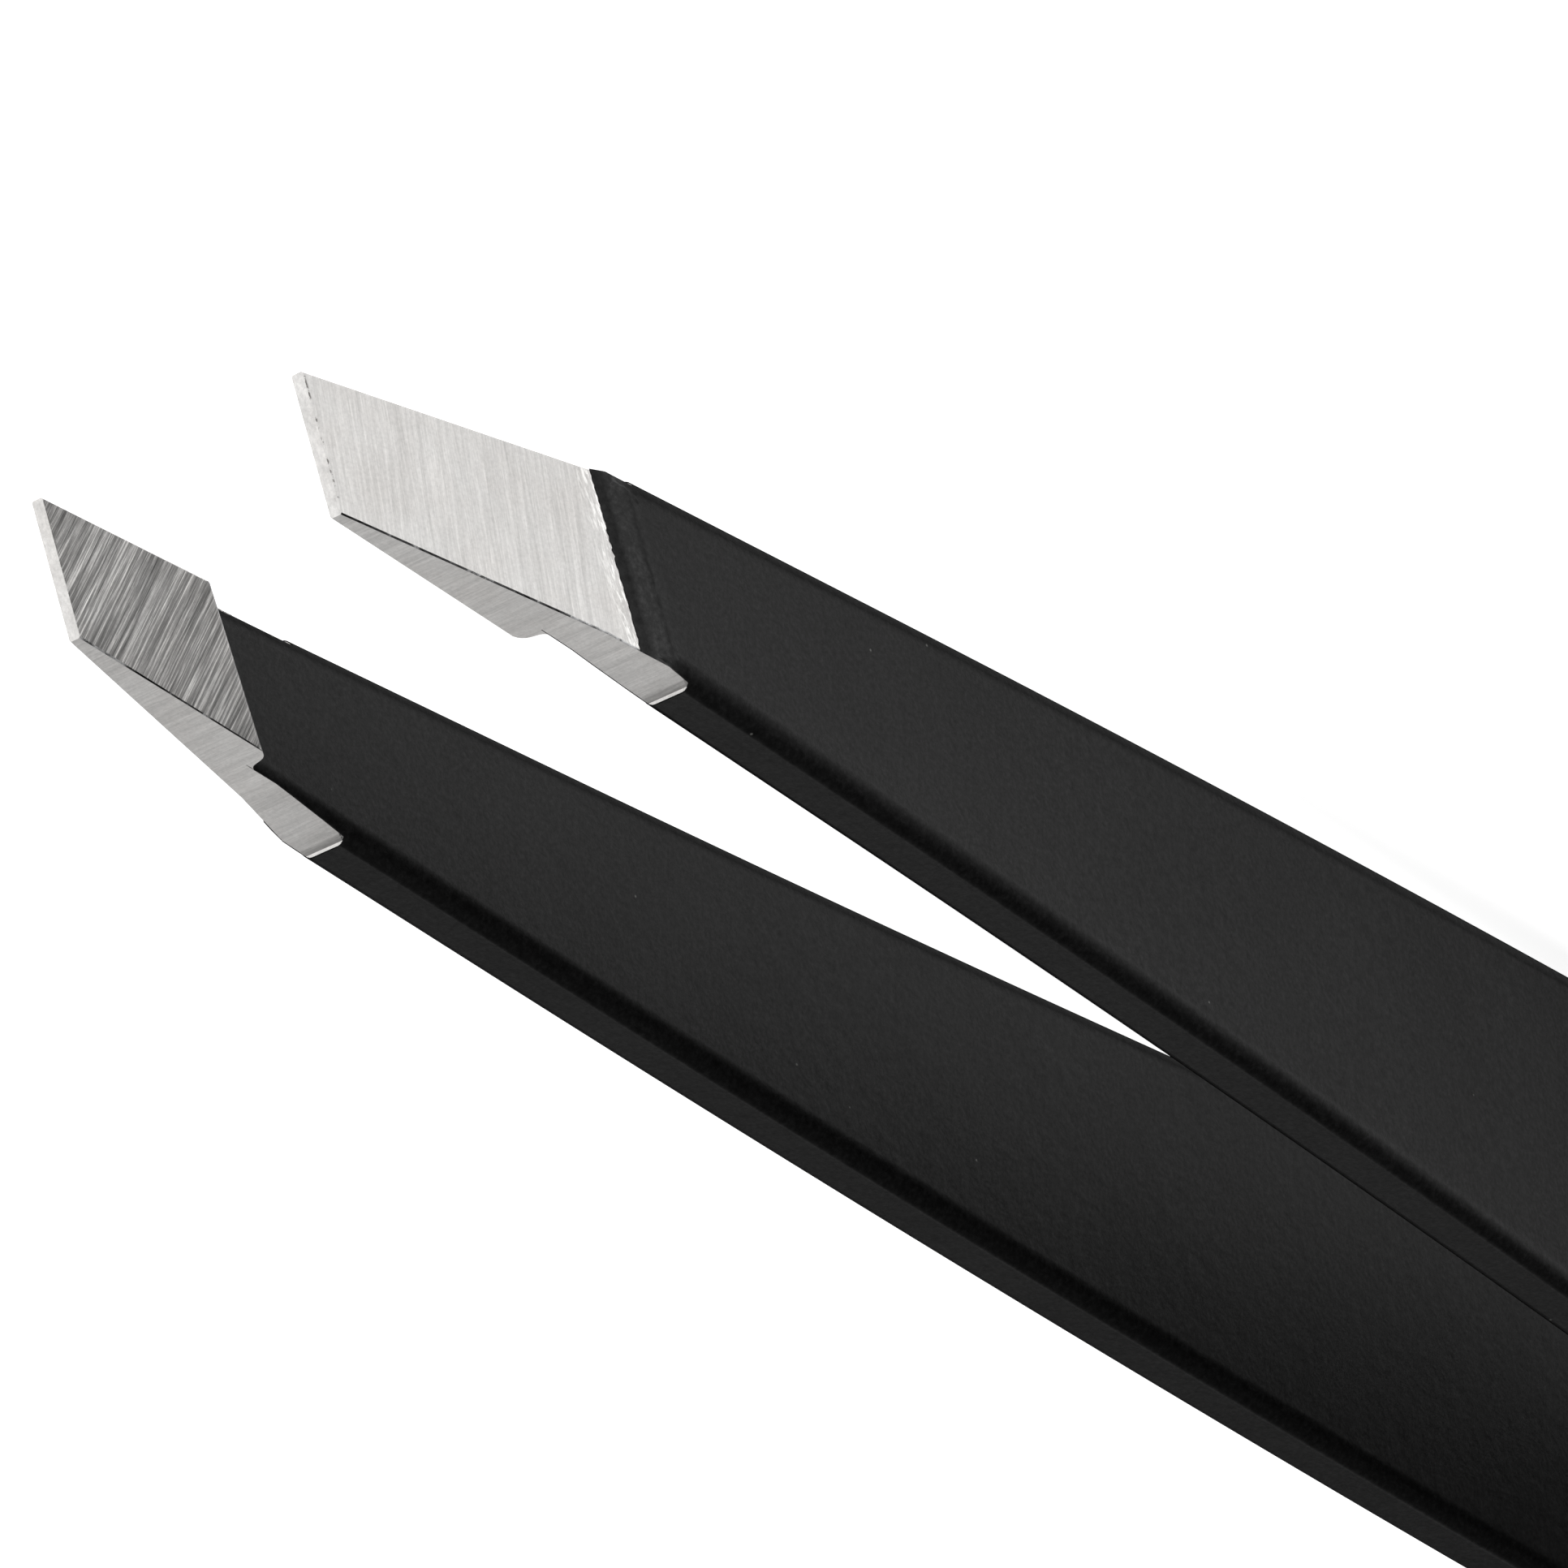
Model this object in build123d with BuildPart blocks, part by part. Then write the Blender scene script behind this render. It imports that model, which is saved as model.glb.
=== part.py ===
from build123d import *
import math
import os

os.makedirs("parts", exist_ok=True)

# Slant tweezers lying on a side edge, in millimetres. +X runs from the welded tail to the tips, +Y is
# the left arm's side and +Z is up, across the arms' width. The arms mirror each other in Y = 0.
# A "back" distance is measured from the foremost corner of the tips towards the tail.

# Overall size
LENGTH = 95.0
MAX_WIDTH = 9.2
STRIP_THICKNESS = 1.16
COAT_THICKNESS = 0.08

# Bow of one arm, on the strip's inner face: straight in front, a long bend, a short reverse bend
FRONT_INNER_Y = 3.76
BOW_START_BACK = 14.0
BOW_RADIUS = 640.0
REVERSE_START_BACK = 81.0

# Width of the coated strip, seen on its broad face
FRONT_HALF_WIDTH = 1.316
SHOULDER_BACK = 42.0
SHOULDER_HALF_WIDTH = 4.15
TAIL_HALF_WIDTH = 3.9
TAIL_CORNER_RADIUS = 2.4
COAT_EDGE_RADIUS = 0.28

# Ground tip, bare of coating: slanted end, outer bevel, inner gripping pad and ground sides
SLANT_DEGREES = 25.0
BEVEL_DEGREES = 12.0
PAD_INNER_Y = 3.16
TIP_EDGE_THICKNESS = 0.27
TIP_LOW_HALF_WIDTH = 1.26
TIP_HIGH_HALF_WIDTH = 1.21
BARE_BEVEL_LENGTH = 6.3
PAD_LENGTH = 4.7
PAD_STEP_LENGTH = 0.12
PAD_STEP_RADIUS = 0.22
PAD_ROOT_LENGTH = 0.5
GROUND_BEND_LENGTH = 5.6
GROUND_BEND_HIGH_HALF_WIDTH = 1.52
GROUND_LENGTH = 7.4
GROUND_LOW_HALF_WIDTH = 1.63
GROUND_HIGH_HALF_WIDTH = 1.79

# Flexure stand-in just ahead of the weld: a half-round root on each blade, in a half-round seat
FLEX_BACK = 83.0
ROOT_RADIUS = 0.56
SEAT_RADIUS = 0.60
SKIN_START = 0.04
INNER_SKIN_START = 0.9
TAIL_SKIN_GAP = 0.16

# Spot welds inside the tail
WELD_RADIUS = 1.2
WELD_HALF_DEPTH = 0.35
WELD_CHAMFER = 0.2
WELD_BACKS = (88.8, 92.2)

# Worked-out sizes
X_TIP = LENGTH / 2
MIDDLE = MAX_WIDTH / 2
REACH = 3 * MAX_WIDTH
SLANT = math.tan(math.radians(SLANT_DEGREES))
BOW_SWEEP = math.asin((REVERSE_START_BACK - BOW_START_BACK) / BOW_RADIUS)
REVERSE_START_Y = FRONT_INNER_Y - BOW_RADIUS * (1 - math.cos(BOW_SWEEP))
REVERSE_RADIUS = REVERSE_START_Y / (1 - math.cos(BOW_SWEEP))
FLAT_BACK = REVERSE_START_BACK + REVERSE_RADIUS * math.sin(BOW_SWEEP)
FLEX_SLOPE = math.asin((FLAT_BACK - FLEX_BACK) / REVERSE_RADIUS)
BEVEL_ANGLE = math.radians(BEVEL_DEGREES)
TAPER = math.atan((SHOULDER_HALF_WIDTH - FRONT_HALF_WIDTH) / SHOULDER_BACK)
SHOULDER_RADIUS = (MIDDLE - SHOULDER_HALF_WIDTH) / (1 - math.cos(TAPER))
WIDEST_BACK = SHOULDER_BACK + SHOULDER_RADIUS * math.sin(TAPER)
STEEL_EDGE_RADIUS = COAT_EDGE_RADIUS - COAT_THICKNESS
INNER_COAT_BACK = PAD_LENGTH + PAD_STEP_LENGTH + PAD_STEP_RADIUS / 2


def at_back(distance):
    """X of a point this far behind the foremost tip corner."""
    return X_TIP - distance


def slanted(back, rise):
    """Point on the broad face, this far behind the tip edge and this far above mid-width."""
    return at_back(back + (rise + TIP_LOW_HALF_WIDTH) * SLANT), MIDDLE + rise


# The flexure's centre, its cross plane, and the plane that slanted tip cuts are drawn on. On that
# plane x = 0 is the tip edge and y is the distance from the mid-plane between the arms.
FLEX_X = at_back(FLEX_BACK) - STRIP_THICKNESS / 2 * math.sin(FLEX_SLOPE)
FLEX_Y = REVERSE_RADIUS - (REVERSE_RADIUS - STRIP_THICKNESS / 2) * math.cos(FLEX_SLOPE)
FLEX_NORMAL = (math.cos(FLEX_SLOPE), math.sin(FLEX_SLOPE), 0)
FLEX_PLANE = Plane(origin=(FLEX_X, FLEX_Y, MIDDLE), x_dir=(0, 0, 1), z_dir=FLEX_NORMAL)
SLANT_DIRECTION = (-SLANT, 0, 1)
SLANT_PLANE = Plane(origin=(slanted(0, -REACH)[0], 0, MIDDLE - REACH))
SLANT_HEIGHT = 2 * REACH
MIRROR_PLANE = Plane.XZ


def strip_side_view(skin):
    """Side view of the left strip, thickened by a skin on both faces."""
    bow_centre = (at_back(BOW_START_BACK), FRONT_INNER_Y - BOW_RADIUS)
    reverse_centre = (at_back(FLAT_BACK), REVERSE_RADIUS)
    sweep = math.degrees(BOW_SWEEP)
    tail_x = -X_TIP - skin
    with BuildSketch(Plane.XY) as view:
        with BuildLine():
            for offset_y in (-skin, STRIP_THICKNESS + skin):
                front_y = FRONT_INNER_Y + offset_y
                Line((X_TIP, front_y), (at_back(BOW_START_BACK), front_y))
                CenterArc(bow_centre, BOW_RADIUS + offset_y, 90, sweep)
                CenterArc(reverse_centre, REVERSE_RADIUS - offset_y, 270, sweep)
                Line((at_back(FLAT_BACK), offset_y), (tail_x, offset_y))
            Line((X_TIP, FRONT_INNER_Y - skin), (X_TIP, FRONT_INNER_Y + STRIP_THICKNESS + skin))
            Line((tail_x, -skin), (tail_x, STRIP_THICKNESS + skin))
        make_face()
    return view.sketch


def strip_broad_view(shrink):
    """Broad view of either strip: tapered in front, widest behind the middle, rounded tail."""
    with BuildSketch(Plane.XZ) as view:
        with BuildLine():
            for side in (-1, 1):
                front = (X_TIP, MIDDLE + side * FRONT_HALF_WIDTH)
                shoulder = (at_back(SHOULDER_BACK), MIDDLE + side * SHOULDER_HALF_WIDTH)
                widest = (at_back(WIDEST_BACK), MIDDLE + side * MIDDLE)
                tail = (-X_TIP, MIDDLE + side * TAIL_HALF_WIDTH)
                Line(front, shoulder)
                TangentArc(shoulder, widest, tangent=(-math.cos(TAPER), side * math.sin(TAPER)))
                TangentArc(widest, tail, tangent=(-1, 0))
            Line((X_TIP, MIDDLE - FRONT_HALF_WIDTH), (X_TIP, MIDDLE + FRONT_HALF_WIDTH))
            Line((-X_TIP, MIDDLE - TAIL_HALF_WIDTH), (-X_TIP, MIDDLE + TAIL_HALF_WIDTH))
        make_face()
        fillet(view.vertices().group_by(Axis.X)[0], TAIL_CORNER_RADIUS)
        if shrink > 0:
            offset(amount=-shrink, mode=Mode.REPLACE)
    return view.sketch


def side_grind_view():
    """Broad view of the stock ground off both sides of the tip, back to the coat's edge."""
    with BuildSketch(Plane.XZ) as view:
        with BuildLine():
            Polyline(
                slanted(-REACH, -2 * REACH),
                slanted(GROUND_LENGTH, -2 * REACH),
                slanted(GROUND_LENGTH, 2 * REACH),
                slanted(-REACH, 2 * REACH),
                close=True,
            )
        make_face()
        with BuildLine():
            Polyline(
                slanted(0, -TIP_LOW_HALF_WIDTH),
                slanted(GROUND_LENGTH, -GROUND_LOW_HALF_WIDTH),
                slanted(GROUND_LENGTH, GROUND_HIGH_HALF_WIDTH),
                slanted(GROUND_BEND_LENGTH, GROUND_BEND_HIGH_HALF_WIDTH),
                slanted(0, TIP_HIGH_HALF_WIDTH),
                close=True,
            )
        make_face(mode=Mode.SUBTRACT)
    return view.sketch


def tip_cut_view(skin):
    """Side view of the stock taken off in front of the tip edge and outside the bevel."""
    edge_y = PAD_INNER_Y + TIP_EDGE_THICKNESS + skin / math.cos(BEVEL_ANGLE)
    bevel_run = 2 * BARE_BEVEL_LENGTH
    with BuildSketch(SLANT_PLANE) as view:
        with BuildLine():
            Polyline(
                (0, -MAX_WIDTH),
                (0, edge_y),
                (-bevel_run, edge_y + bevel_run * math.tan(BEVEL_ANGLE)),
                (-bevel_run, REACH),
                (REACH, REACH),
                (REACH, -MAX_WIDTH),
                close=True,
            )
        make_face()
    return view.sketch


def bare_front_view():
    """Side view of where the tip is bare: in front of the pad's step, and of the coat on the bevel."""
    mid_strip_y = FRONT_INNER_Y + STRIP_THICKNESS / 2
    with BuildSketch(SLANT_PLANE) as view:
        with BuildLine():
            Polyline(
                (REACH, -REACH),
                (-INNER_COAT_BACK, -REACH),
                (-INNER_COAT_BACK, mid_strip_y),
                (-BARE_BEVEL_LENGTH, mid_strip_y),
                (-BARE_BEVEL_LENGTH, REACH),
                (REACH, REACH),
                close=True,
            )
        make_face()
    return view.sketch


def pad_view():
    """Side view of the raised gripping pad, with its rounded step down to the strip."""
    step_end = -PAD_LENGTH - PAD_STEP_LENGTH
    with BuildSketch(SLANT_PLANE) as view:
        with BuildLine():
            Polyline(
                (0, PAD_INNER_Y),
                (-PAD_LENGTH, PAD_INNER_Y),
                (step_end, FRONT_INNER_Y),
                (step_end - PAD_ROOT_LENGTH, FRONT_INNER_Y),
                (step_end - PAD_ROOT_LENGTH, FRONT_INNER_Y + STRIP_THICKNESS / 2),
                (0, FRONT_INNER_Y + STRIP_THICKNESS / 2),
                close=True,
            )
        make_face()
        crest = view.vertices().sort_by_distance((SLANT_PLANE * Pos(-PAD_LENGTH, PAD_INNER_Y)).position)
        root = view.vertices().sort_by_distance((SLANT_PLANE * Pos(step_end, FRONT_INNER_Y)).position)
        fillet([crest[0], root[0]], PAD_STEP_RADIUS)
    return view.sketch


def lengthwise_edges(solid):
    """The long edges of a strip, between its broad faces and its sides."""
    return solid.edges().filter_by(Axis.Z, reverse=True).filter_by(Axis.Y, reverse=True)


# Full left strips, before the tip is ground: bare steel, and with the coat on. These are stock for
# the pieces below and aren't exported.
with BuildPart() as steel_stock:
    extrude(strip_side_view(0), amount=REACH, both=True)
    extrude(strip_broad_view(COAT_THICKNESS), amount=REACH, both=True, mode=Mode.INTERSECT)
    fillet(lengthwise_edges(steel_stock), STEEL_EDGE_RADIUS)

with BuildPart() as coated_stock:
    extrude(strip_side_view(COAT_THICKNESS), amount=REACH, both=True)
    extrude(strip_broad_view(0), amount=REACH, both=True, mode=Mode.INTERSECT)
    fillet(lengthwise_edges(coated_stock), COAT_EDGE_RADIUS)

with BuildPart() as weld_stock:
    for weld_back in WELD_BACKS:
        with BuildSketch(Plane.XZ) as weld_face:
            with Locations((at_back(weld_back), MIDDLE)):
                Circle(WELD_RADIUS)
        extrude(amount=WELD_HALF_DEPTH, both=True)
    chamfer(weld_stock.edges().filter_by(GeomType.CIRCLE), WELD_CHAMFER)

with BuildPart() as root_stock:
    with BuildSketch(Plane.XY.offset(MIDDLE)) as root_end:
        with Locations((FLEX_X, FLEX_Y)):
            Circle(ROOT_RADIUS)
    flex_half_width = MIDDLE - COAT_THICKNESS - STEEL_EDGE_RADIUS - ROOT_RADIUS
    extrude(amount=flex_half_width, both=True)

with BuildPart() as seat_stock:
    with BuildSketch(Plane.XY.offset(MIDDLE)) as seat_end:
        with Locations((FLEX_X, FLEX_Y)):
            Circle(SEAT_RADIUS)
    extrude(amount=REACH, both=True)


# Left arm, steel: from the half-round root to the ground tip.
with BuildPart() as left_arm:
    add(steel_stock.part)
    split(bisect_by=FLEX_PLANE, keep=Keep.TOP)
    add(root_stock.part)
    extrude(pad_view(), amount=SLANT_HEIGHT, dir=SLANT_DIRECTION)
    extrude(tip_cut_view(0), amount=SLANT_HEIGHT, dir=SLANT_DIRECTION, mode=Mode.SUBTRACT)
    extrude(side_grind_view(), amount=REACH, both=True, mode=Mode.SUBTRACT)
left_arm.part.label = "left_arm"

# Left arm's coat: a thin sleeve round the steel, open at the ground tip and at the root.
with BuildPart() as left_coat:
    add(coated_stock.part)
    split(bisect_by=FLEX_PLANE.offset(SKIN_START), keep=Keep.TOP)
    coated_bevel = tip_cut_view(COAT_THICKNESS)
    for cut_view in (bare_front_view(), coated_bevel):
        extrude(cut_view, amount=SLANT_HEIGHT, dir=SLANT_DIRECTION, mode=Mode.SUBTRACT)
    extrude(side_grind_view(), amount=REACH, both=True, mode=Mode.SUBTRACT)
    with BuildSketch(FLEX_PLANE) as inner_relief:
        with Locations((0, STRIP_THICKNESS / 4)):
            Rectangle(REACH, REACH, align=(Align.CENTER, Align.MIN))
    extrude(amount=INNER_SKIN_START, mode=Mode.SUBTRACT)
    add(steel_stock.part, mode=Mode.SUBTRACT)
left_coat.part.label = "left_coat"

# Left arm's tail end, steel: the part of the strip that is spot-welded to the other arm.
with BuildPart() as left_tail:
    add(steel_stock.part)
    split(bisect_by=FLEX_PLANE, keep=Keep.BOTTOM)
    add(seat_stock.part, mode=Mode.SUBTRACT)
    add(weld_stock.part, mode=Mode.SUBTRACT)
left_tail.part.label = "left_tail"

# The right arm's pieces mirror the left arm's.
with BuildPart() as right_arm:
    add(mirror(left_arm.part, about=MIRROR_PLANE))
right_arm.part.label = "right_arm"

with BuildPart() as right_coat:
    add(mirror(left_coat.part, about=MIRROR_PLANE))
right_coat.part.label = "right_coat"

with BuildPart() as right_tail:
    add(mirror(left_tail.part, about=MIRROR_PLANE))
right_tail.part.label = "right_tail"

# Weld nuggets that fuse the two tail ends.
with BuildPart() as spot_welds:
    add(weld_stock.part)
spot_welds.part.label = "spot_welds"

# Coat over the tail: one skin round both tail ends.
with BuildPart() as tail_coat:
    add(coated_stock.part)
    split(bisect_by=FLEX_PLANE.offset(-TAIL_SKIN_GAP), keep=Keep.BOTTOM)
    add(mirror(tail_coat.part, about=MIRROR_PLANE))
    for steel in (steel_stock.part, mirror(steel_stock.part, about=MIRROR_PLANE)):
        add(steel, mode=Mode.SUBTRACT)
tail_coat.part.label = "tail_coat"

export_step(left_arm.part, "parts/left_arm.step")
export_step(right_arm.part, "parts/right_arm.step")
export_step(left_coat.part, "parts/left_coat.step")
export_step(right_coat.part, "parts/right_coat.step")
export_step(left_tail.part, "parts/left_tail.step")
export_step(right_tail.part, "parts/right_tail.step")
export_step(spot_welds.part, "parts/spot_welds.step")
export_step(tail_coat.part, "parts/tail_coat.step")
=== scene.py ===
import math

import bmesh
import bpy
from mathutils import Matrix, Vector, noise


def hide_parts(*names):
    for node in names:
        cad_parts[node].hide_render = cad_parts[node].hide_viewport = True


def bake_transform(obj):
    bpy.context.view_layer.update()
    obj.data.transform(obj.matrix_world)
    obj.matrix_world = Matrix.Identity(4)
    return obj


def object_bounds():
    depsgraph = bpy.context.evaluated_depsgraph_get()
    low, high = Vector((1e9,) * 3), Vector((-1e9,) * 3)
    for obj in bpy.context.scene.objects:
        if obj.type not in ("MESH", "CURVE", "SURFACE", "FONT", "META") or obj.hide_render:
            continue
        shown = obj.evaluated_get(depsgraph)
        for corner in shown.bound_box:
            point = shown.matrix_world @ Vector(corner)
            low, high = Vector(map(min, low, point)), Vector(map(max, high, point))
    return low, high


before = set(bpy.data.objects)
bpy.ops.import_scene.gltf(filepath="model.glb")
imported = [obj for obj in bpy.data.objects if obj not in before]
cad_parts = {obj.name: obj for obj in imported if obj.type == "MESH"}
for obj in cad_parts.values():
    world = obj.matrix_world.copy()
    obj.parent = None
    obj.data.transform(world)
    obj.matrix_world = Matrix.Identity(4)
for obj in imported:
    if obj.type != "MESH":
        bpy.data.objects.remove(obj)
cad_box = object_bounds()

# Slant tweezers lying on a side edge: +X to the tips, +Y to the left arm, +Z across the arms' width.
# Shapes are made in millimetres, in the row frame, and scaled to metres as their last step.
# "Back" is measured from the foremost tip corner towards the tail, and "rise" from mid-width.
# In the ground tip, "run" is measured along X from the slanted tip edge, at the same rise.
MM = 0.001
X_TIP = cad_box[1].x / MM
LENGTH = (cad_box[1].x - cad_box[0].x) / MM
WIDTH = (cad_box[1].z - cad_box[0].z) / MM
MIDDLE = WIDTH / 2

# Thickness of the bare strip and of the coat
STRIP = 1.16
COAT = 0.08

# The coated strip's long edges are rounded as quarter ellipses, longer on the broad face
EDGE_ROUND_OUT = 0.32
EDGE_ROUND_RISE = 0.5

# The bare strip's inner face: straight at the tip, bowed inwards, then curved back to lie flat
FRONT_INNER_Y = 3.76
BOW_START_BACK = 14.0
BOW_RADIUS = 640.0
REVERSE_START_BACK = 81.0
BOW_SWEEP = math.asin((REVERSE_START_BACK - BOW_START_BACK) / BOW_RADIUS)
REVERSE_START_Y = FRONT_INNER_Y - BOW_RADIUS * (1 - math.cos(BOW_SWEEP))
REVERSE_RADIUS = REVERSE_START_Y / (1 - math.cos(BOW_SWEEP))
FLAT_BACK = REVERSE_START_BACK + REVERSE_RADIUS * math.sin(BOW_SWEEP)

# Width on the broad face
FRONT_HALF_WIDTH = 1.316
SHOULDER_BACK = 42.0
SHOULDER_HALF_WIDTH = 4.15
TAIL_HALF_WIDTH = 3.9
TAIL_CORNER_RADIUS = 2.4
TAPER = math.atan((SHOULDER_HALF_WIDTH - FRONT_HALF_WIDTH) / SHOULDER_BACK)
SHOULDER_RADIUS = (MIDDLE - SHOULDER_HALF_WIDTH) / (1 - math.cos(TAPER))
WIDEST_BACK = SHOULDER_BACK + SHOULDER_RADIUS * math.sin(TAPER)
TAIL_RUN = LENGTH - WIDEST_BACK
TAIL_RADIUS = (TAIL_RUN**2 + (MIDDLE - TAIL_HALF_WIDTH) ** 2) / (2 * (MIDDLE - TAIL_HALF_WIDTH))

# Ground tip
SLANT = math.tan(math.radians(25))
BEVEL = math.tan(math.radians(12))
PAD_INNER_Y = 3.16
TIP_THICKNESS = 0.27
TIP_OUTER_Y = PAD_INNER_Y + TIP_THICKNESS
TIP_LOW = 1.26
TIP_HIGH = 1.21
BARE_BEVEL = 6.3
CREASE_RUN = 7.1
PAD_LENGTH = 4.72
PAD_SKEW = 0.07
PAD_STEP = 0.12
PAD_NOSE_RADIUS = 0.3
PAD_ROOT_RADIUS = 0.2
GROUND_BEND = 5.6
GROUND_BEND_HIGH = 1.52
GROUND_LENGTH = 7.4
GROUND_LOW = 1.63
GROUND_HIGH = 1.79
EDGE_CHAMFER = 0.028

# The coat's worn lip behind the bevel, and the crease where the bevel meets the broad face
LIP_LENGTH = 0.27
CREASE_FRONT = 0.13
CREASE_REAR = 0.14

# Cutters reach well past the arm
CUT_FRONT_RUN = -3.0
CUT_REAR_RUN = 9.0
CUT_INNER_Y = -1.0
CUT_OUTER_Y = 9.0
CUT_RISES = (-6.0, 6.0)

# The pad starts wider than the tip, and is ground down with it
PAD_RISES = (-1.9, 1.9)

# The coat's inside stays this far off the steel
COAT_GAP = 0.002

# In the ground tip the steel reaches almost to the coat's surface
THIN_COAT = 0.058
THIN_COAT_END = 9.5
THIN_COAT_FADE = 2.0

# Edges that turn by more than this are shaded sharp
SHARP_DEGREES = 28

FLOOR_GLOW = 0.8
WORLD_GLOW = 0.28


def at_back(back):
    return X_TIP - back


def half_width(back):
    """Coated half-width of the strip, without the tail's rounded corners."""
    if back < SHOULDER_BACK:
        return FRONT_HALF_WIDTH + (SHOULDER_HALF_WIDTH - FRONT_HALF_WIDTH) * back / SHOULDER_BACK
    if back < WIDEST_BACK:
        drop = SHOULDER_RADIUS - math.sqrt(SHOULDER_RADIUS**2 - (WIDEST_BACK - back) ** 2)
        return MIDDLE - drop
    return MIDDLE - TAIL_RADIUS + math.sqrt(TAIL_RADIUS**2 - (back - WIDEST_BACK) ** 2)


def bow(back):
    """Y of the bare strip's inner face, and the angle by which the strip leans there."""
    if back < BOW_START_BACK:
        return FRONT_INNER_Y, 0.0
    if back < REVERSE_START_BACK:
        lean = math.asin((back - BOW_START_BACK) / BOW_RADIUS)
        return FRONT_INNER_Y - BOW_RADIUS * (1 - math.cos(lean)), lean
    if back < FLAT_BACK:
        lean = math.asin((FLAT_BACK - back) / REVERSE_RADIUS)
        return REVERSE_RADIUS * (1 - math.cos(lean)), lean
    return 0.0, 0.0


def corner_inset(distance, radius):
    """How far a rounded corner of this radius has drawn in, at a distance from its end."""
    if distance >= radius:
        return 0.0
    return radius - math.sqrt(max(radius**2 - (radius - distance) ** 2, 0))


def strip_stations(skin):
    """Places along the strip for its cross-sections, closer together where it curves."""
    ahead_of_tip = -1.0
    bow_step = 0.75
    tail_step = 0.3
    stations = [ahead_of_tip]
    while stations[-1] < REVERSE_START_BACK - 1:
        stations.append(stations[-1] + bow_step)
    while stations[-1] < LENGTH - TAIL_CORNER_RADIUS - 0.4:
        stations.append(stations[-1] + tail_step)
    end = LENGTH - COAT + skin
    corner_steps = 18
    for i in range(corner_steps + 1):
        angle = math.pi / 2 * i / corner_steps
        stations.append(end - TAIL_CORNER_RADIUS * (1 - math.sin(angle)))
    edge_steps = 6
    radius = EDGE_ROUND_OUT - COAT + skin
    for i in range(1, edge_steps + 1):
        stations.append(end - radius * (1 - math.sin(math.pi / 2 * i / edge_steps)))
    return sorted(set(round(s, 5) for s in stations if s <= end))


def thin_coat(back):
    """Extra steel under the coat in the ground tip, where the coat is ground thin."""
    fade = (back - THIN_COAT_END) / THIN_COAT_FADE
    return THIN_COAT * min(max(1 - fade, 0), 1)


def strip_section(back, skin, side):
    """Cross-section of the strip with a skin of this thickness on it: a rectangle with round corners."""
    if skin < COAT:
        skin += thin_coat(back)
    round_out = EDGE_ROUND_OUT - COAT + skin
    round_rise = EDGE_ROUND_RISE - COAT + skin
    end = LENGTH - COAT + skin
    inset = corner_inset(end - back, round_out)
    half = half_width(back) - COAT + skin - inset
    half -= corner_inset(end - back, TAIL_CORNER_RADIUS)
    inner_y, lean = bow(back)
    depth = STRIP / 2 + skin - inset
    round_out = max(min(round_out - inset, depth), 0.01)
    round_rise = max(min(round_rise - inset, half), 0.01)
    points = []
    arc_steps = 8
    for quarter, (out_sign, rise_sign) in enumerate(((1, 1), (-1, 1), (-1, -1), (1, -1))):
        start = quarter * math.pi / 2
        for step in range(arc_steps + 1):
            angle = start + math.pi / 2 * step / arc_steps
            out = (depth - round_out) * out_sign + round_out * math.cos(angle)
            rise = (half - round_rise) * rise_sign + round_rise * math.sin(angle)
            x = at_back(back) - (out + STRIP / 2) * math.sin(lean)
            y = inner_y + (out + STRIP / 2) * math.cos(lean)
            points.append(Vector((x, side * y, MIDDLE + rise)))
    return points


def loft(name, sections):
    """Closed mesh through a row of sections with equal numbers of points."""
    mesh = bpy.data.meshes.new(name)
    shape = bmesh.new()
    rings = [[shape.verts.new(p) for p in section] for section in sections]
    for ring, following in zip(rings, rings[1:]):
        for i in range(len(ring)):
            j = (i + 1) % len(ring)
            shape.faces.new((ring[i], ring[j], following[j], following[i]))
    shape.faces.new(rings[0])
    shape.faces.new(rings[-1])
    bmesh.ops.recalc_face_normals(shape, faces=shape.faces)
    shape.to_mesh(mesh)
    shape.free()
    piece = bpy.data.objects.new(name, mesh)
    bpy.context.scene.collection.objects.link(piece)
    return piece


def strip_solid(name, skin, side):
    return loft(name, [strip_section(back, skin, side) for back in strip_stations(skin)])


def combine(piece, tool, operation):
    """Applies a boolean of tool on piece and removes tool."""
    modifier = piece.modifiers.new("combine", "BOOLEAN")
    modifier.operation = operation
    modifier.solver = "EXACT"
    modifier.object = tool
    apply_modifiers(piece)
    bpy.data.objects.remove(tool)


def apply_modifiers(piece):
    result = bpy.data.meshes.new_from_object(
        piece.evaluated_get(bpy.context.evaluated_depsgraph_get())
    )
    piece.modifiers.clear()
    piece.data = result


def tip_point(run, y, rise, side):
    back = run + (rise + TIP_LOW) * SLANT
    return Vector((at_back(back), side * y, MIDDLE + rise))


def tip_run(place):
    """Run of a place: how far it lies behind the slanted tip edge."""
    return X_TIP - place.x - (place.z - MIDDLE + TIP_LOW) * SLANT


def slanted_solid(name, outline, side, rises):
    """Solid whose outline, in run and Y, is carried up along the tip's slant."""
    return loft(name, [[tip_point(run, y, rise, side) for run, y in outline(rise)] for rise in rises])


def side_solid(name, outline, side):
    """Solid whose outline, in run and rise, passes straight through the arm from face to face."""
    far_y = 8.0
    ends = (CUT_INNER_Y, far_y)
    return loft(name, [[tip_point(run, y, rise, side) for run, rise in outline] for y in ends])


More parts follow.
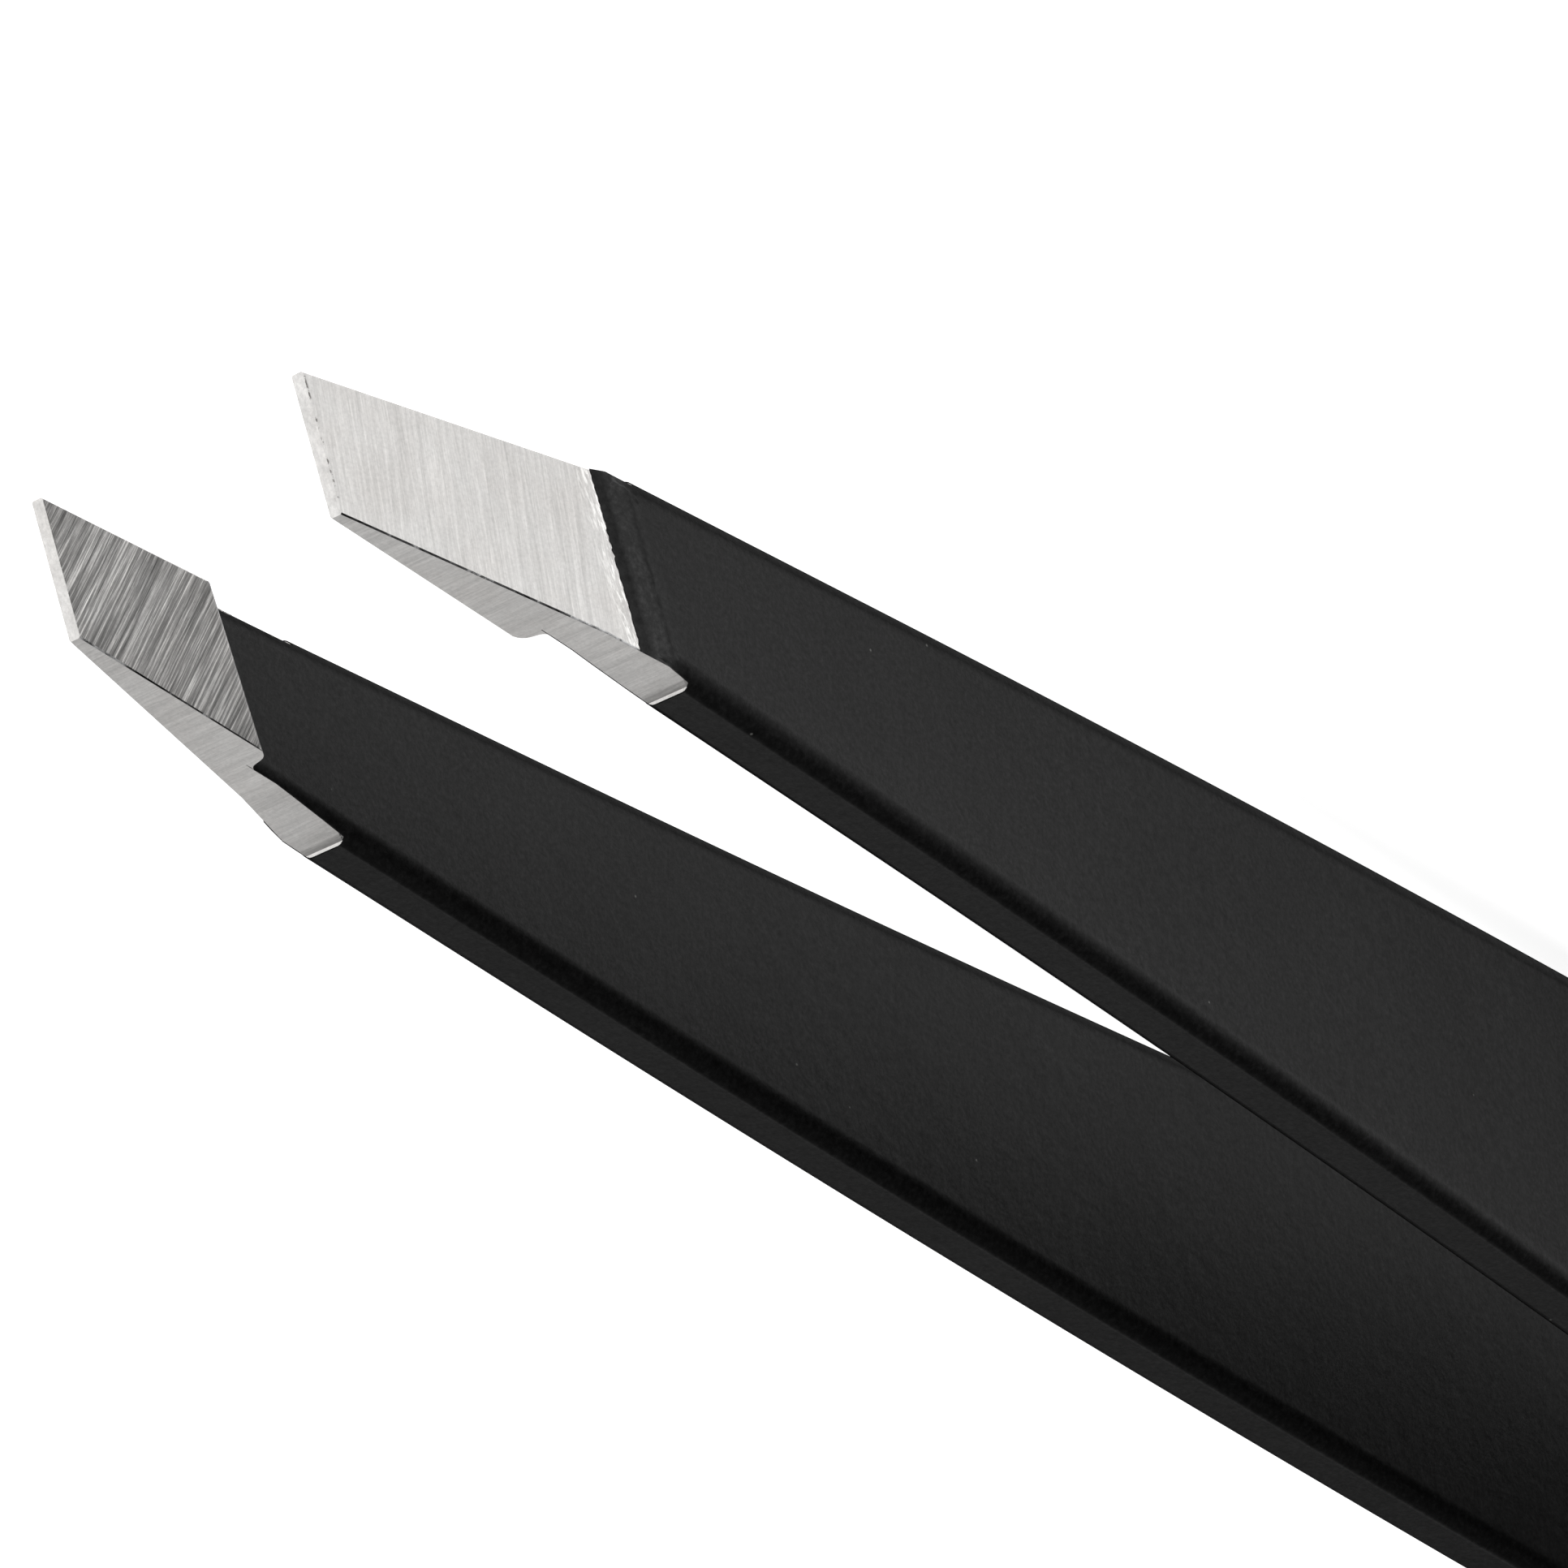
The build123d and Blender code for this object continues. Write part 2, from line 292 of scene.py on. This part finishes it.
def fillet_points(before, corner, after, radius, steps=5):
    """Points of an arc that rounds a corner of an outline."""
    b, c, a = Vector(before), Vector(corner), Vector(after)
    to_b, to_a = (b - c).normalized(), (a - c).normalized()
    half_angle = to_b.angle(to_a) / 2
    reach = radius / math.tan(half_angle)
    centre = c + (to_b + to_a).normalized() * (radius / math.sin(half_angle))
    start, end = c + to_b * reach - centre, c + to_a * reach - centre
    return [tuple(centre + radius * start.slerp(end, i / steps)) for i in range(steps + 1)]


def pad_outline(rise):
    """The gripping pad: flat inside, with a round crest at its rear and a round root at its step."""
    pad_end = PAD_LENGTH + PAD_SKEW * rise
    step_end = pad_end + PAD_STEP
    rear_run = step_end + 1.0
    front, crest = (0.0, PAD_INNER_Y), (pad_end, PAD_INNER_Y)
    root, rear = (step_end, FRONT_INNER_Y), (rear_run, FRONT_INNER_Y)
    # The pad's rear stays a hair inside the strip, so the two join in one clean face.
    sink = 0.004
    inside = FRONT_INNER_Y + STRIP / 2
    points = [front, *fillet_points(front, crest, root, PAD_NOSE_RADIUS)]
    points += fillet_points(crest, root, rear, PAD_ROOT_RADIUS)
    points += [(rear_run, FRONT_INNER_Y + sink), (rear_run, inside)]
    return points + [(-1.0, inside), (-1.0, PAD_INNER_Y)]


def steel_front_outline(rise):
    """What is ground off in front of the tip edge and outside the bevel."""
    return [
        (0, CUT_INNER_Y),
        (0, TIP_OUTER_Y),
        (CUT_REAR_RUN, TIP_OUTER_Y + CUT_REAR_RUN * BEVEL),
        (CUT_REAR_RUN, CUT_OUTER_Y),
        (CUT_FRONT_RUN, CUT_OUTER_Y),
        (CUT_FRONT_RUN, CUT_INNER_Y),
    ]


def ragged(position, seed, size):
    """Small irregular shift along a ground edge, the same on every run."""
    coarse = noise.noise(Vector((position * 2.3, seed, 0.5)))
    fine = noise.noise(Vector((position * 11.0, seed, 3.7)))
    finest = noise.noise(Vector((position * 31.0, seed, 9.1)))
    return size * (0.5 * coarse + 0.8 * fine + 0.5 * finest)


def coat_front_outline(rise, seed, lip_height):
    """What is bare of coat outside the arm: the ground bevel, then the coat's low worn lip."""
    edge = BARE_BEVEL + ragged(rise, seed, 0.035)
    lip = BARE_BEVEL + LIP_LENGTH + ragged(rise * 0.5, seed + 5, 0.03)
    crease = CREASE_RUN + ragged(rise * 0.3, seed + 9, 0.03)
    crease_front = crease - CREASE_FRONT
    face_y = FRONT_INNER_Y + STRIP + COAT
    inside = 4.3

    def bevel_y(run, height):
        return TIP_OUTER_Y + run * BEVEL + height

    return [
        (CUT_FRONT_RUN, inside),
        (edge, inside),
        (edge, bevel_y(edge, 0.012)),
        (lip, bevel_y(lip, lip_height)),
        (crease_front, bevel_y(crease_front, lip_height - 0.01)),
        (crease, face_y - 0.02),
        (crease + CREASE_REAR, face_y + 0.004),
        (CUT_REAR_RUN, face_y + 0.1),
        (CUT_REAR_RUN, CUT_OUTER_Y),
        (CUT_FRONT_RUN, CUT_OUTER_Y),
    ]


def coat_inner_outline(rise, seed):
    """What is bare of coat inside the arm: the pad and its step."""
    edge = PAD_LENGTH + PAD_SKEW * rise + ragged(rise, seed, 0.02)
    outside = 4.3
    return [(CUT_FRONT_RUN, CUT_INNER_Y), (edge, CUT_INNER_Y), (edge, outside), (CUT_FRONT_RUN, outside)]


def side_cutters(name, piece, side, wall):
    """Grinds both sides of the tip. wall says how the ground face ends: a list of (run, rise)."""
    far = 12.0
    low_slope = (GROUND_LOW - TIP_LOW) / GROUND_LENGTH
    high_slope = (GROUND_BEND_HIGH - TIP_HIGH) / GROUND_BEND
    front = CUT_FRONT_RUN
    high = [(front, TIP_HIGH + front * high_slope), (0, TIP_HIGH), (GROUND_BEND, GROUND_BEND_HIGH)]
    high += wall + [(wall[-1][0], far), (front, far)]
    low = [(front, -TIP_LOW - front * low_slope), (GROUND_LENGTH, -GROUND_LOW)]
    low += [(GROUND_LENGTH, -far), (front, -far)]
    combine(piece, side_solid(name + "_high", high, side), "DIFFERENCE")
    combine(piece, side_solid(name + "_low", low, side), "DIFFERENCE")


def row_of(start, end, count):
    return [start + (end - start) * i / (count - 1) for i in range(count)]


def remember_rest_place(piece):
    """Keeps each point's place at rest, in millimetres, so that grain stays put as the arm bends."""
    mesh = piece.data
    places = mesh.attributes.new("rest_mm", "FLOAT_VECTOR", "POINT")
    flat = [0.0] * (3 * len(mesh.vertices))
    mesh.vertices.foreach_get("co", flat)
    places.data.foreach_set("vector", flat)


def remember_lip(piece, innermost_y):
    """Keeps each point's run near the tip, from innermost_y outwards, for its marks and for the painted
    highlight and shade that follow it.
    """
    far_run = 20.0
    runs = []
    for vertex in piece.data.vertices:
        counts = abs(vertex.co.y) > innermost_y and vertex.co.x > at_back(far_run)
        runs.append(tip_run(vertex.co) if counts else far_run)
    piece.data.attributes.new("lip_run", "FLOAT", "POINT").data.foreach_set("value", runs)


def to_metres(piece):
    piece.data.transform(((MM, 0, 0, 0), (0, MM, 0, 0), (0, 0, MM, 0), (0, 0, 0, 1)))


def keep_own_half(piece, side):
    """Cuts a strip off at the plane where the two arms meet in the tail."""
    shape = bmesh.new()
    shape.from_mesh(piece.data)
    everything = shape.verts[:] + shape.edges[:] + shape.faces[:]
    cut = bmesh.ops.bisect_plane(
        shape, geom=everything, dist=1e-5, plane_co=(0, 0, 0), plane_no=(0, side, 0), clear_inner=True
    )
    edges = [e for e in cut["geom_cut"] if isinstance(e, bmesh.types.BMEdge)]
    bmesh.ops.holes_fill(shape, edges=edges, sides=0)
    bmesh.ops.recalc_face_normals(shape, faces=shape.faces)
    shape.to_mesh(piece.data)
    shape.free()


STEEL_SLOTS = ("bevel", "pad", "side", "end", "strip", "shaded_burr")


def steel_region(centre, normal, side):
    """Which ground face a piece of the steel's surface belongs to."""
    if tip_run(centre) > GROUND_LENGTH + 0.2:
        return "strip"
    if abs(normal.z) > 0.8:
        return "side"
    if normal.x > 0.7:
        return "end"
    if normal.y * side > 0.5:
        return "bevel"
    return "pad"


def paint_regions(piece, side, materials):
    for key in STEEL_SLOTS:
        piece.data.materials.append(materials[key])
    for face in piece.data.polygons:
        face.material_index = STEEL_SLOTS.index(steel_region(face.center, face.normal, side))


def mark_ridges(piece):
    """Gives a bevel weight to the long ridges between ground faces, but not to the tip edge."""
    first_run, last_run = 0.1, BARE_BEVEL + 0.5
    ridge_angle = math.radians(35)
    off_inner_face = 0.07
    shortest = 0.25
    shape = bmesh.new()
    shape.from_mesh(piece.data)
    weight = shape.edges.layers.float.new("bevel_weight_edge")
    for edge in shape.edges:
        middle = (edge.verts[0].co + edge.verts[1].co) / 2
        if not first_run < tip_run(middle) < last_run:
            continue
        clear = abs(abs(middle.y) - FRONT_INNER_Y) > off_inner_face
        if clear and edge.calc_length() > shortest and edge.calc_face_angle() > ridge_angle:
            edge[weight] = 1.0
    shape.to_mesh(piece.data)
    shape.free()


def wear_ridges(piece):
    """Chamfers the long ridges of the tip. The upper side's chamfers take the torn burr steel, darkened as
    painted shade; the lower side's take the end steel.
    """
    mark_ridges(piece)
    chamfer = piece.modifiers.new("chamfer", "BEVEL")
    chamfer.width = EDGE_CHAMFER
    chamfer.segments = 1
    chamfer.limit_method = "WEIGHT"
    chamfer.use_clamp_overlap = False
    chamfer.material = STEEL_SLOTS.index("shaded_burr")
    apply_modifiers(piece)
    for face in piece.data.polygons:
        if face.material_index == STEEL_SLOTS.index("shaded_burr") and face.center.z < MIDDLE:
            face.material_index = STEEL_SLOTS.index("end")


def make_strip(name, side, materials):
    """One arm's steel: the whole bowed strip, with its ground tip and gripping pad."""
    strip = strip_solid(name, 0.0, side)
    pad = slanted_solid(name + "_pad", pad_outline, side, PAD_RISES)
    combine(strip, pad, "UNION")
    front = slanted_solid(name + "_front", steel_front_outline, side, CUT_RISES)
    combine(strip, front, "DIFFERENCE")
    lip_run, lip_height = GROUND_LENGTH - 0.13, GROUND_HIGH - 0.02
    wall = [
        (lip_run, lip_height),
        (lip_run + 0.03, lip_height + 0.03),
        (GROUND_LENGTH, lip_height + 0.07),
    ]
    side_cutters(name + "_grind", strip, side, wall)
    paint_regions(strip, side, materials)
    wear_ridges(strip)
    remember_lip(strip, 0)
    return strip


def make_skin(name, side, seed, lip_height, material):
    """One arm's coat: a sleeve with the ground tip's bare areas cut out of its front."""

    def outer_outline(rise):
        return coat_front_outline(rise, seed, lip_height)

    def inner_outline(rise):
        return coat_inner_outline(rise, seed + 20)

    skin = strip_solid(name, COAT, side)
    core = strip_solid(name + "_core", COAT_GAP, side)
    bevel = slanted_solid(name + "_bevel", steel_front_outline, side, CUT_RISES)
    combine(core, bevel, "DIFFERENCE")
    combine(skin, core, "DIFFERENCE")
    rises = row_of(-3.0, 3.0, 121)
    combine(skin, slanted_solid(name + "_outer", outer_outline, side, rises), "DIFFERENCE")
    combine(skin, slanted_solid(name + "_inner", inner_outline, side, rises), "DIFFERENCE")
    side_cutters(name + "_grind", skin, side, [(GROUND_LENGTH, GROUND_HIGH)])
    keep_own_half(skin, side)
    skin.data.materials.append(material)
    remember_lip(skin, FRONT_INNER_Y + STRIP / 2)
    return skin


def finish_piece(piece, replaced):
    """Shades a piece, sets it in the row frame and hides the CAD parts that it replaces."""
    remember_rest_place(piece)
    piece.data.shade_smooth()
    piece.data.set_sharp_from_angle(angle=math.radians(SHARP_DEGREES))
    flatten = piece.modifiers.new("flatten", "WEIGHTED_NORMAL")
    flatten.keep_sharp = True
    flatten.weight = 100
    apply_modifiers(piece)
    to_metres(piece)
    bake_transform(piece)
    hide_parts(*replaced)


class Nodes:
    """Short way to write a material's node tree."""

    def __init__(self, name):
        self.material = bpy.data.materials.new(name)
        self.material.use_nodes = True
        self.tree = self.material.node_tree
        self.shader = self.tree.nodes["Principled BSDF"]

    def add(self, kind, **settings):
        node = self.tree.nodes.new(kind)
        for key, value in settings.items():
            setattr(node, key, value)
        return node

    def link(self, source, target):
        self.tree.links.new(source, target)

    def place(self):
        """Place at rest, in millimetres."""
        return self.add("ShaderNodeAttribute", attribute_name="rest_mm").outputs["Vector"]

    def run(self):
        """Run behind the tip edge at rest, in millimetres, and a large value well behind the tip."""
        return self.add("ShaderNodeAttribute", attribute_name="lip_run").outputs["Fac"]

    def between(self, value, start, end):
        """0 at start, 1 at end and straight in between."""
        node = self.add("ShaderNodeMapRange")
        node.inputs["From Min"].default_value = start
        node.inputs["From Max"].default_value = end
        self.link(value, node.inputs["Value"])
        return node.outputs["Result"]

    def stretched(self, turn, scale):
        """Rest place turned about Y by an angle in degrees, then scaled along each axis."""
        mapping = self.add("ShaderNodeMapping", vector_type="TEXTURE")
        mapping.inputs["Rotation"].default_value = (0, math.radians(turn), 0)
        mapping.inputs["Scale"].default_value = scale
        self.link(self.place(), mapping.inputs["Vector"])
        return mapping.outputs["Vector"]

    def noise(self, vector, scale=1.0, detail=4.0, roughness=0.6, distortion=0.0):
        node = self.add("ShaderNodeTexNoise")
        node.inputs["Scale"].default_value = scale
        node.inputs["Detail"].default_value = detail
        node.inputs["Roughness"].default_value = roughness
        node.inputs["Distortion"].default_value = distortion
        self.link(vector, node.inputs["Vector"])
        return node.outputs["Fac"]

    def ramp(self, value, stops):
        """Colour ramp from (position, grey or colour) stops."""
        node = self.add("ShaderNodeValToRGB")
        elements = node.color_ramp.elements
        while len(elements) < len(stops):
            elements.new(0.5)
        for element, (position, colour) in zip(elements, stops):
            element.position = position
            rgb = (colour,) * 3 if isinstance(colour, (int, float)) else colour
            element.color = (*rgb, 1)
        self.link(value, node.inputs["Fac"])
        return node.outputs["Color"]

    def mix(self, factor, a, b, blend_type="MIX"):
        node = self.add("ShaderNodeMix", data_type="RGBA", blend_type=blend_type)
        for socket, value in (("Factor", factor), ("A", a), ("B", b)):
            found = [s for s in node.inputs if s.name == socket and s.enabled][0]
            if isinstance(value, bpy.types.NodeSocket):
                self.link(value, found)
            else:
                found.default_value = value
        return [s for s in node.outputs if s.enabled][0]

    def multiply(self, product, *factors):
        for factor in factors:
            product = self.mix(1.0, product, factor, "MULTIPLY")
        return product

    def bump(self, height, strength, distance, normal=None):
        node = self.add("ShaderNodeBump")
        node.inputs["Strength"].default_value = strength
        node.inputs["Distance"].default_value = distance
        self.link(height, node.inputs["Height"])
        if normal is not None:
            self.link(normal, node.inputs["Normal"])
        return node.outputs["Normal"]


def coat_specks(n):
    """Mask of a few small specks."""
    cells = n.add("ShaderNodeTexVoronoi")
    cells.inputs["Scale"].default_value = 1.3
    n.link(n.place(), cells.inputs["Vector"])
    speck = n.ramp(cells.outputs["Distance"], [(0.02, 1.0), (0.045, 0.0)])
    parts = n.add("ShaderNodeSeparateColor")
    n.link(cells.outputs["Color"], parts.inputs["Color"])
    chosen = n.ramp(parts.outputs["Red"], [(0.8, 0.0), (0.86, 1.0)])
    return n.multiply(speck, chosen)


def coat_lip_highlight(n):
    """How many times brighter the coat is from the bevel's edge, over the lip, to the crease: a painted
    highlight on the coat's tone and sheen, strongest on the lip's ridge.
    """
    across = n.between(n.run(), BARE_BEVEL - 0.2, BARE_BEVEL + 1.3)
    beside_bevel = [(0.0, 1.05), (0.24, 1.05)]
    painted_ridge_highlight = [(0.34, 3.1), (0.52, 3.3)]
    behind = [(0.6, 1.8), (0.66, 1.35), (0.8, 1.0)]
    return n.ramp(across, beside_bevel + painted_ridge_highlight + behind)


def coat_sheen(n):
    """Gloss by how far a face leans away from the view: 0 is square on and 1 is edge on."""
    facing = n.add("ShaderNodeLayerWeight").outputs["Facing"]
    square_on = [(0.1, 0.3), (0.22, 0.1), (0.3, 0.1)]
    leaning = [(0.4, 0.18), (0.45, 0.12), (0.5, 0.065)]
    steep = [(0.545, 0.026), (0.85, 0.0)]
    return n.ramp(facing, square_on + leaning + steep)


def powder_coat():
    """Matte black coat: fine orange peel, a mottled tone, a few pale specks, and a painted highlight along
    the lip behind the bevel.
    """
    n = Nodes("black_powder_coat")
    place = n.place()
    mottle = n.noise(place, scale=9.0, detail=6.0, roughness=0.75)
    cloud = n.noise(place, scale=0.35, detail=2.0)
    tone = n.ramp(mottle, [(0.33, 0.0005), (0.5, 0.0016), (0.66, 0.005)])
    pale = (0.09, 0.09, 0.085, 1)
    # lip is a painted highlight along the coat's lip behind the bevel, multiplied into both the tone and
    # the sheen.
    lip = coat_lip_highlight(n)
    speckled = n.mix(coat_specks(n), tone, pale)
    n.link(n.multiply(speckled, lip), n.shader.inputs["Base Color"])
    grain = n.ramp(mottle, [(0.35, 0.62), (0.65, 1.0)])
    clouds = n.ramp(cloud, [(0.3, 0.9), (0.7, 1.0)])
    n.link(n.multiply(coat_sheen(n), grain, clouds, lip), n.shader.inputs["Specular IOR Level"])
    n.link(n.ramp(mottle, [(0.25, 0.38), (0.75, 0.46)]), n.shader.inputs["Roughness"])
    peel = n.noise(place, scale=2.2, detail=2.0, roughness=0.5)
    peel_normal = n.bump(peel, 0.5, 0.02 * MM)
    n.link(n.bump(mottle, 0.6, 0.01 * MM, peel_normal), n.shader.inputs["Normal"])
    return n.material


def lip_scratches(n, turn):
    """Mask of the bright torn scratches where the bevel runs out under the coat's lip."""
    near_lip = n.between(n.run(), BARE_BEVEL - 0.45, BARE_BEVEL - 0.05)
    tear = n.noise(n.stretched(turn - 12, (0.05, 0.3, 0.35)), detail=5.0, roughness=0.7)
    return n.multiply(near_lip, n.ramp(tear, [(0.5, 0.0), (0.6, 0.9)]))


def edge_nick_shade(n):
    """Mask of the small nicks where a ground face meets the tip edge, with their shade painted dark."""
    reach = 0.07
    near_edge = n.ramp(n.between(n.run(), reach, 0.0), [(0.2, 0.0), (0.6, 1.0)])
    chips = n.noise(n.place(), scale=5.0, detail=5.0, roughness=0.7)
    return n.multiply(near_edge, n.ramp(chips, [(0.53, 0.0), (0.58, 0.85)]))


def ground_steel(
    name, turn, grain_scale, tones, roughness, depth,
    waves=0.0, banding=0.84, torn_lip=False, nick_shaded=False,
):
    """Bare steel with grinding marks, turned by turn degrees and as long on each axis as grain_scale."""
    n = Nodes(name)
    fine = n.noise(n.stretched(turn, grain_scale), detail=8.0, roughness=0.75, distortion=waves)
    broad_scale = tuple(3.5 * s for s in grain_scale)
    broad = n.noise(n.stretched(turn + 4, broad_scale), detail=3.0, distortion=waves)
    pores = n.noise(n.place(), scale=14.0, detail=4.0, roughness=0.7)
    cloud = n.noise(n.place(), scale=0.9, detail=3.0)
    streaks = n.ramp(fine, [(0.34, tones[0]), (0.5, tones[1]), (0.66, tones[2])])
    bands = n.ramp(broad, [(0.35, banding), (0.65, 1.0)])
    pitting = n.ramp(pores, [(0.3, 0.86), (0.6, 1.0)])
    clouds = n.ramp(cloud, [(0.3, (0.95, 0.925, 0.9)), (0.7, (1.0, 0.985, 0.965))])
    colour = n.multiply(streaks, bands, pitting, clouds)
    if torn_lip:
        bright = (0.95, 0.94, 0.92, 1)
        colour = n.mix(lip_scratches(n, turn), colour, bright)
    # The nicks' dark colour is painted shade.
    if nick_shaded:
        dark = (0.09, 0.085, 0.08, 1)
        colour = n.mix(edge_nick_shade(n), colour, dark)
    n.link(colour, n.shader.inputs["Base Color"])
    n.link(n.ramp(fine, [(0.3, roughness[0]), (0.7, roughness[1])]), n.shader.inputs["Roughness"])
    n.link(n.bump(fine, 0.6, depth * MM), n.shader.inputs["Normal"])
    n.shader.inputs["Metallic"].default_value = 1.0
    return n.material


def shaded_torn_steel(name, stops):
    """Torn steel along the ridges between ground faces, its dark tones painted shade along the ridges."""
    n = Nodes(name)
    tear = n.noise(n.place(), scale=1.1, detail=8.0, roughness=0.7)
    n.link(n.ramp(tear, stops), n.shader.inputs["Base Color"])
    n.link(n.ramp(tear, [(0.3, 0.35), (0.7, 0.6)]), n.shader.inputs["Roughness"])
    n.link(n.bump(tear, 0.8, 0.01 * MM), n.shader.inputs["Normal"])
    n.shader.inputs["Metallic"].default_value = 1.0
    return n.material


def weld_steel():
    """The nuggets inside the tail, in one even heat tint."""
    n = Nodes("weld_steel")
    n.shader.inputs["Base Color"].default_value = (0.4, 0.375, 0.345, 1)
    n.shader.inputs["Roughness"].default_value = 0.45
    n.shader.inputs["Metallic"].default_value = 1.0
    return n.material


def steel_set(arm, shaded_burr):
    """The steel's materials: each ground face has marks of its own direction and coarseness."""
    return {
        "bevel": ground_steel(
            arm + "_bevel_steel",
            turn=-19,
            grain_scale=(0.03, 1, 0.9),
            tones=(0.52, 0.6, 0.7),
            roughness=(0.3, 0.42),
            depth=0.002,
            waves=0.6,
            torn_lip=True,
            nick_shaded=True,
        ),
        # The pad's dark tones are painted shade, for the shaded gap between the arms that the pad
        # reflects; its streaks are its grinding.
        "pad": ground_steel(
            arm + "_pad_steel",
            turn=22.7,
            grain_scale=(0.05, 1, 2.6),
            tones=(0.07, 0.27, 0.85),
            roughness=(0.26, 0.5),
            depth=0.008,
            waves=0.15,
            banding=0.6,
            nick_shaded=True,
        ),
        "side": ground_steel(
            arm + "_side_steel",
            turn=0,
            grain_scale=(0.05, 0.9, 0.05),
            tones=(0.5, 0.6, 0.7),
            roughness=(0.32, 0.46),
            depth=0.003,
            waves=0.8,
        ),
        "end": ground_steel(
            arm + "_end_steel",
            turn=25,
            grain_scale=(0.08, 0.08, 0.9),
            tones=(0.64, 0.74, 0.84),
            roughness=(0.3, 0.42),
            depth=0.003,
            waves=0.3,
        ),
        "strip": ground_steel(
            arm + "_strip_steel",
            turn=0,
            grain_scale=(1.5, 0.06, 0.06),
            tones=(0.5, 0.6, 0.7),
            roughness=(0.3, 0.45),
            depth=0.003,
        ),
        "shaded_burr": shaded_burr,
    }


def make_arm(arm, side, seed, lip_height, shaded_burr, coat):
    """One arm: its steel strip and the coat on it."""
    steel = make_strip(arm + "_strip", side, steel_set(arm, shaded_burr))
    finish_piece(steel, [arm + "_arm", arm + "_tail"])
    skin = make_skin(arm + "_skin", side, seed, lip_height, coat)
    finish_piece(skin, [arm + "_coat", "tail_coat"])


# The burr is torn steel, and its near-black tones are painted shade along the upper ridges.
shaded_burr_steel = shaded_torn_steel("shaded_burr_steel", [(0.42, 0.01), (0.52, 0.09), (0.6, 0.6)])
black_coat = powder_coat()
make_arm("left", 1, 3.0, 0.02, shaded_burr_steel, black_coat)
make_arm("right", -1, 41.0, 0.085, shaded_burr_steel, black_coat)

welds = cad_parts["spot_welds"]
welds.data.materials.clear()
welds.data.materials.append(weld_steel())


# Floor, light and camera
def soft_light(name, place, aim, size, watts):
    lamp = bpy.data.lights.new(name, "AREA")
    lamp.shape = "DISK"
    lamp.size = size
    lamp.energy = watts
    rig = bpy.data.objects.new(name, lamp)
    rig.location = place
    rig.rotation_euler = (Vector(aim) - Vector(place)).to_track_quat("-Z", "Y").to_euler()
    bpy.context.scene.collection.objects.link(rig)


def make_floor():
    """Pale sheet that glows, as if lit from below as well, for the side edges to rest on."""
    half = 1.5
    corners = [(-half, -half, 0), (half, -half, 0), (half, half, 0), (-half, half, 0)]
    mesh = bpy.data.meshes.new("floor")
    mesh.from_pydata(corners, [], [(0, 1, 2, 3)])
    floor = bpy.data.objects.new("floor", mesh)
    bpy.context.scene.collection.objects.link(floor)
    n = Nodes("pale_floor")
    n.shader.inputs["Base Color"].default_value = (0.9, 0.9, 0.9, 1)
    n.shader.inputs["Roughness"].default_value = 0.9
    n.shader.inputs["Specular IOR Level"].default_value = 0.1
    n.shader.inputs["Emission Color"].default_value = (1, 1, 1, 1)
    n.shader.inputs["Emission Strength"].default_value = FLOOR_GLOW
    mesh.materials.append(n.material)


make_floor()
world = bpy.data.worlds.new("studio")
world.use_nodes = True
world.node_tree.nodes["Background"].inputs["Color"].default_value = (1, 1, 1, 1)
world.node_tree.nodes["Background"].inputs["Strength"].default_value = WORLD_GLOW
scene = bpy.context.scene
scene.world = world
scene.view_settings.view_transform = "Standard"
soft_light("rear_softbox", (-0.36, 0.35, 0.33), (0.03, 0, 0), 0.5, 0.44)
soft_light("overhead_softbox", (0.1, -0.1, 0.6), (0.03, 0, 0), 0.5, 1.1)
soft_light("tip_softbox", (0.48, 0.33, 0.14), (0.04, 0, 0), 0.35, 0.35)
soft_light("front_softbox", (0.1, -0.75, 0.1), (0, 0, 0), 0.6, 1.2)

# The photo looks down at the upper side edges from ahead of the tips, with the camera almost
# upside down. Its aim, angles, distance and lens come from fitting the arms' outlines.
AIM = Vector((0.0306, 0.0, 0.0031))
DISTANCE = 0.1945
AZIMUTH = math.radians(48.12)
ELEVATION = math.radians(30.25)
ROLL = math.radians(180.75)
LENS = 232.7
towards_camera = Vector((
    math.sin(AZIMUTH) * math.cos(ELEVATION),
    -math.cos(AZIMUTH) * math.cos(ELEVATION),
    math.sin(ELEVATION),
))
camera = bpy.data.objects.new("camera", bpy.data.cameras.new("camera"))
camera.data.lens = LENS
camera.data.clip_start = 0.005
camera.location = AIM + towards_camera * DISTANCE
camera.rotation_euler = towards_camera.to_track_quat("Z", "Y").to_matrix().to_euler()
camera.rotation_euler.rotate_axis("Z", ROLL)
scene.collection.objects.link(camera)
scene.camera = camera
